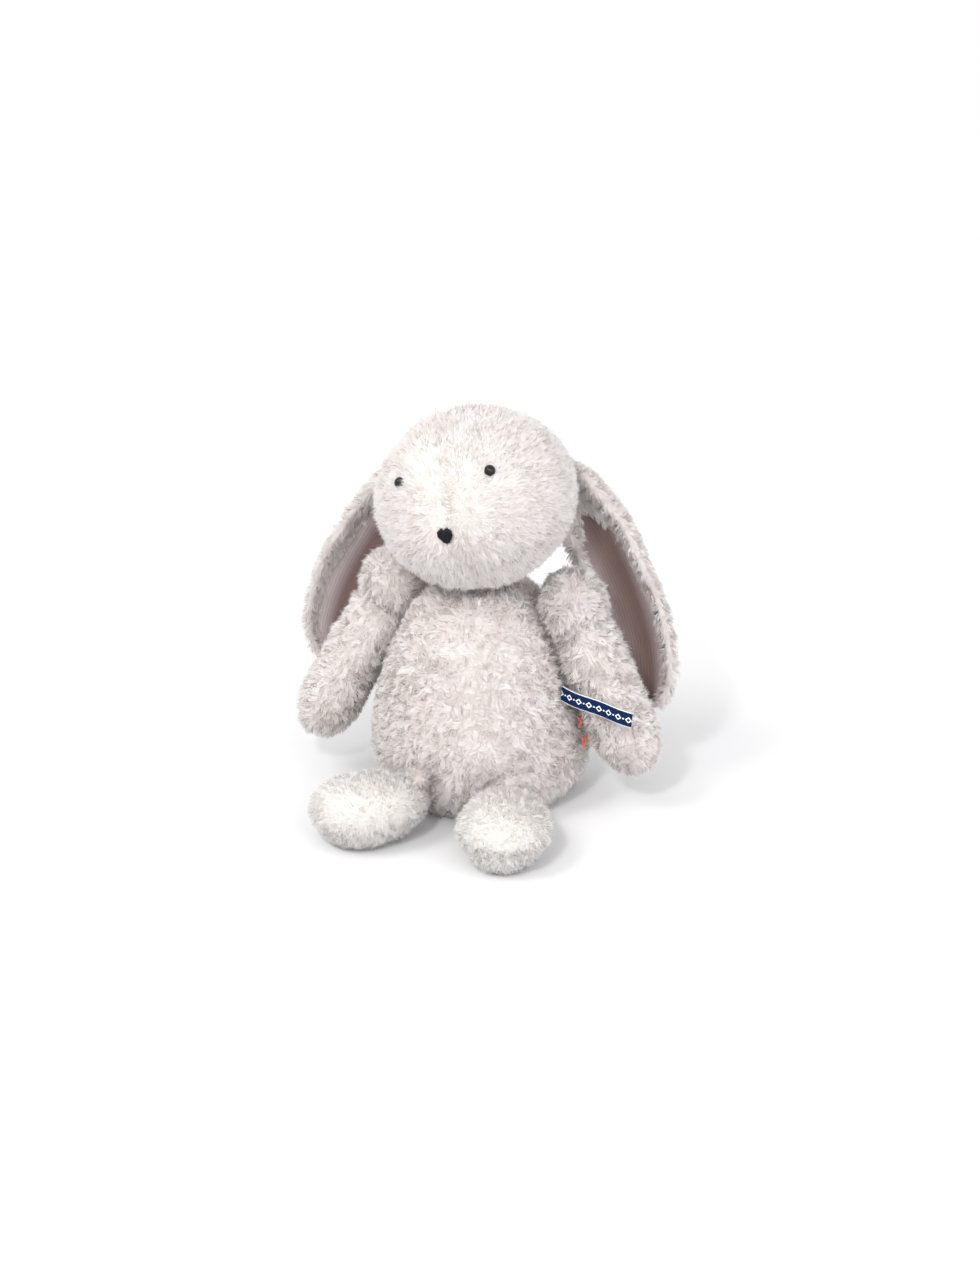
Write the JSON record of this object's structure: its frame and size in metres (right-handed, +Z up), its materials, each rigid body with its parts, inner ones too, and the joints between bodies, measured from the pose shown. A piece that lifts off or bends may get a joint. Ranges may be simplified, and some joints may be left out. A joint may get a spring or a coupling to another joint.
{
  "type": "stuffed rabbit toy",
  "caption": "Seated stuffed rabbit in white pile cloth with long lined drooping ears, bead eyes, a stitched nose and a side ribbon tag.",
  "frame": {"origin": "centre of the flat seat under the body, on the surface that the rabbit sits on", "axes": "+Z up, -Y towards the rabbit's front, +X towards the rabbit's own left"},
  "size_m": [0.2558, 0.2289, 0.2556],
  "materials": {
    "curly_pile": "soft curly white pile",
    "head_pile": "brushed white pile",
    "short_pile": "short white pile",
    "ear_velour": "ribbed mauve grey velour",
    "polyester_fill": "loose fibre",
    "cotton_pouch": "plain woven cotton",
    "pellets": "small translucent beads",
    "bead_plastic": "polished black",
    "washer_plastic": "moulded",
    "nose_thread": "satin stitch, navy black",
    "woven_ribbon": "woven navy ribbon with a plain pattern",
    "coral_thread": "twisted embroidery thread"
  },
  "bodies": {
    "torso": {"body_front_panel": "curly_pile", "body_back_panel": "curly_pile", "body_base_panel": "curly_pile", "body_stuffing": "polyester_fill", "pellet_pouch": "cotton_pouch", "pellet_fill": "pellets", "tail_panel": "curly_pile", "tail_stuffing": "polyester_fill", "closing_stitches": "coral_thread", "leg_gather_left": "curly_pile", "leg_gather_right": "curly_pile"},
    "neck": {"neck_gather": "curly_pile"},
    "head": {"head_left_panel": "head_pile", "head_right_panel": "head_pile", "head_back_panel": "head_pile", "head_stuffing": "polyester_fill", "eye_left": "bead_plastic", "eye_right": "bead_plastic", "eye_washer_left": "washer_plastic", "eye_washer_right": "washer_plastic", "nose_stitching": "nose_thread"},
    "tag": {"ribbon_tag": "woven_ribbon"},
    "ear_left": {"ear_outer_left": "curly_pile", "ear_lining_left": "ear_velour"},
    "shoulder_left": {"arm_gather_left": "curly_pile"},
    "arm_left": {"arm_front_panel_left": "curly_pile", "arm_back_panel_left": "curly_pile", "arm_stuffing_left": "polyester_fill"},
    "leg_left": {"foot_top_panel_left": "short_pile", "foot_sole_left": "short_pile", "foot_stuffing_left": "polyester_fill"},
    "ear_right": {"ear_outer_right": "curly_pile", "ear_lining_right": "ear_velour"},
    "shoulder_right": {"arm_gather_right": "curly_pile"},
    "arm_right": {"arm_front_panel_right": "curly_pile", "arm_back_panel_right": "curly_pile", "arm_stuffing_right": "polyester_fill"},
    "leg_right": {"foot_top_panel_right": "short_pile", "foot_sole_right": "short_pile", "foot_stuffing_right": "polyester_fill"}
  },
  "joints": [
    {"name": "neck_nod", "type": "hinge", "parent": "torso", "child": "neck", "pos_m": [0, 0, 0.1451], "axis": [1, 0, 0], "range_deg": [-2, 14], "stiffness_Nm_per_rad": 0.6},
    {"name": "head_turn", "type": "hinge", "parent": "neck", "child": "head", "pos_m": [0, 0, 0.1451], "axis": [0, 0, 1], "range_deg": [-4, 12], "stiffness_Nm_per_rad": 0.4},
    {"name": "ear_left_lift", "type": "hinge", "parent": "head", "child": "ear_left", "pos_m": [0.04135, 0.034, 0.2112], "axis": [0, -1, 0], "range_deg": [0, 45]},
    {"name": "ear_right_lift", "type": "hinge", "parent": "head", "child": "ear_right", "pos_m": [-0.04135, 0.034, 0.2112], "axis": [0, 1, 0], "range_deg": [0, 60]},
    {"name": "arm_left_swing", "type": "hinge", "parent": "torso", "child": "shoulder_left", "pos_m": [0.0605, 0.004, 0.128], "axis": [-1, 0, 0], "range_deg": [0, 100], "stiffness_Nm_per_rad": 0.03, "deforming": ["ribbon_tag"]},
    {"name": "arm_left_lift", "type": "hinge", "parent": "shoulder_left", "child": "arm_left", "pos_m": [0.0605, 0.004, 0.128], "axis": [0, -1, 0], "range_deg": [0, 70], "stiffness_Nm_per_rad": 0.03},
    {"name": "arm_right_swing", "type": "hinge", "parent": "torso", "child": "shoulder_right", "pos_m": [-0.0605, 0.004, 0.128], "axis": [-1, 0, 0], "range_deg": [0, 100], "stiffness_Nm_per_rad": 0.03},
    {"name": "arm_right_lift", "type": "hinge", "parent": "shoulder_right", "child": "arm_right", "pos_m": [-0.0605, 0.004, 0.128], "axis": [0, 1, 0], "range_deg": [0, 70], "stiffness_Nm_per_rad": 0.03},
    {"name": "leg_left_swing", "type": "hinge", "parent": "torso", "child": "leg_left", "pos_m": [0.04328, -0.06417, 0.035], "axis": [-0.9744, -0.225, 0], "range_deg": [0, 50]},
    {"name": "leg_right_swing", "type": "hinge", "parent": "torso", "child": "leg_right", "pos_m": [-0.01344, -0.07622, 0.035], "axis": [-0.6947, 0.7193, 0], "range_deg": [0, 50]},
    {"name": "tag_flap", "type": "hinge", "parent": "torso", "child": "tag", "pos_m": [0.06061, -0.0175, 0.08], "axis": [0, 0, -1], "range_deg": [0, 70], "stiffness_Nm_per_rad": 0.00002}
  ]
}
